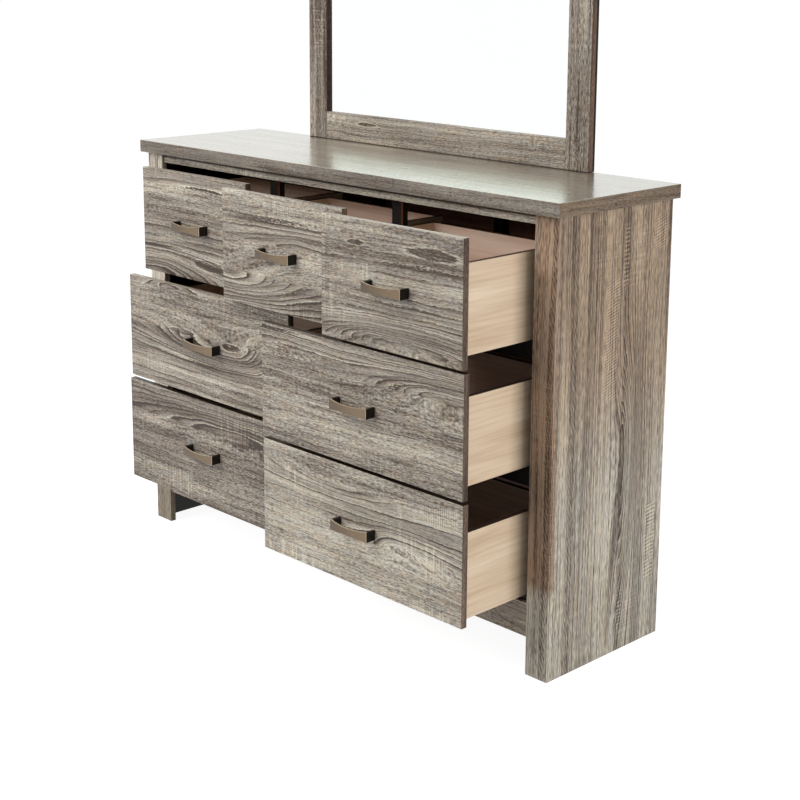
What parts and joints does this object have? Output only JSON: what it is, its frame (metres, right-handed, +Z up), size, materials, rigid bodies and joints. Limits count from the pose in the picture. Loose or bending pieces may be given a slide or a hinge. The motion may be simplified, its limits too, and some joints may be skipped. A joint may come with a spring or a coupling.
{
  "type": "dresser with mirror",
  "caption": "Wide low dresser in weathered grey wood print with inset drawers in three rows, bowed strap pulls, square posts and a framed mirror standing on its thick top.",
  "frame": {"origin": "on the floor under the middle of the whole piece as stored, with its drawers open", "axes": "+X to the right as seen from the front, +Y to the back, towards the wall, +Z up"},
  "size_m": [1.38, 0.6238, 1.9],
  "materials": {
    "top_board": "satin wood print",
    "side_board": "matt wood print",
    "grained_board": "weathered sawn wood print",
    "black_frame": "matt black",
    "back_board": "brown wood print",
    "drawer_box": "pale maple foil",
    "pull": "dark bronze",
    "mirror_frame": "weathered sawn wood print",
    "mirror_glass": "silvered glass",
    "mirror_backing": "black board",
    "support_batten": "black paint"
  },
  "bodies": {
    "carcass": {"top_panel": "top_board", "left_side_panel": "side_board", "right_side_panel": "side_board", "left_front_post": "grained_board", "right_front_post": "grained_board", "top_rail": "grained_board", "bottom_apron": "grained_board", "upper_cross_rail": "black_frame", "lower_cross_rail": "black_frame", "top_row_mullions": "black_frame", "lower_row_mullions": "black_frame", "rear_rails": "black_frame", "rear_battens": "black_frame", "side_runners": "black_frame", "divider_runners": "black_frame", "side_guides": "black_frame", "back_panel": "back_board", "mirror_left_stile": "mirror_frame", "mirror_right_stile": "mirror_frame", "mirror_top_rail": "mirror_frame", "mirror_bottom_rail": "mirror_frame", "mirror_glass": "mirror_glass", "mirror_backing": "mirror_backing", "mirror_supports": "support_batten"},
    "top_left_drawer": {"top_left_drawer_front": "grained_board", "top_left_drawer_sides": "drawer_box", "top_left_drawer_back": "drawer_box", "top_left_drawer_bottom": "drawer_box", "top_left_pull": "pull"},
    "top_middle_drawer": {"top_middle_drawer_front": "grained_board", "top_middle_drawer_sides": "drawer_box", "top_middle_drawer_back": "drawer_box", "top_middle_drawer_bottom": "drawer_box", "top_middle_pull": "pull"},
    "top_right_drawer": {"top_right_drawer_front": "grained_board", "top_right_drawer_sides": "drawer_box", "top_right_drawer_back": "drawer_box", "top_right_drawer_bottom": "drawer_box", "top_right_pull": "pull"},
    "middle_left_drawer": {"middle_left_drawer_front": "grained_board", "middle_left_drawer_sides": "drawer_box", "middle_left_drawer_back": "drawer_box", "middle_left_drawer_bottom": "drawer_box", "middle_left_pull": "pull"},
    "middle_right_drawer": {"middle_right_drawer_front": "grained_board", "middle_right_drawer_sides": "drawer_box", "middle_right_drawer_back": "drawer_box", "middle_right_drawer_bottom": "drawer_box", "middle_right_pull": "pull"},
    "bottom_left_drawer": {"bottom_left_drawer_front": "grained_board", "bottom_left_drawer_sides": "drawer_box", "bottom_left_drawer_back": "drawer_box", "bottom_left_drawer_bottom": "drawer_box", "bottom_left_pull": "pull"},
    "bottom_right_drawer": {"bottom_right_drawer_front": "grained_board", "bottom_right_drawer_sides": "drawer_box", "bottom_right_drawer_back": "drawer_box", "bottom_right_drawer_bottom": "drawer_box", "bottom_right_pull": "pull"}
  },
  "joints": [
    {"name": "top_left_drawer_slide", "type": "slide", "parent": "carcass", "child": "top_left_drawer", "axis": [0, -1, 0], "range_m": [-0.061, 0.173]},
    {"name": "top_middle_drawer_slide", "type": "slide", "parent": "carcass", "child": "top_middle_drawer", "axis": [0, -1, 0], "range_m": [-0.134, 0.1]},
    {"name": "top_right_drawer_slide", "type": "slide", "parent": "carcass", "child": "top_right_drawer", "axis": [0, -1, 0], "range_m": [-0.197, 0.037]},
    {"name": "middle_left_drawer_slide", "type": "slide", "parent": "carcass", "child": "middle_left_drawer", "axis": [0, -1, 0], "range_m": [-0.109, 0.125]},
    {"name": "middle_right_drawer_slide", "type": "slide", "parent": "carcass", "child": "middle_right_drawer", "axis": [0, -1, 0], "range_m": [-0.191, 0.043]},
    {"name": "bottom_left_drawer_slide", "type": "slide", "parent": "carcass", "child": "bottom_left_drawer", "axis": [0, -1, 0], "range_m": [-0.114, 0.12]},
    {"name": "bottom_right_drawer_slide", "type": "slide", "parent": "carcass", "child": "bottom_right_drawer", "axis": [0, -1, 0], "range_m": [-0.189, 0.045]}
  ]
}
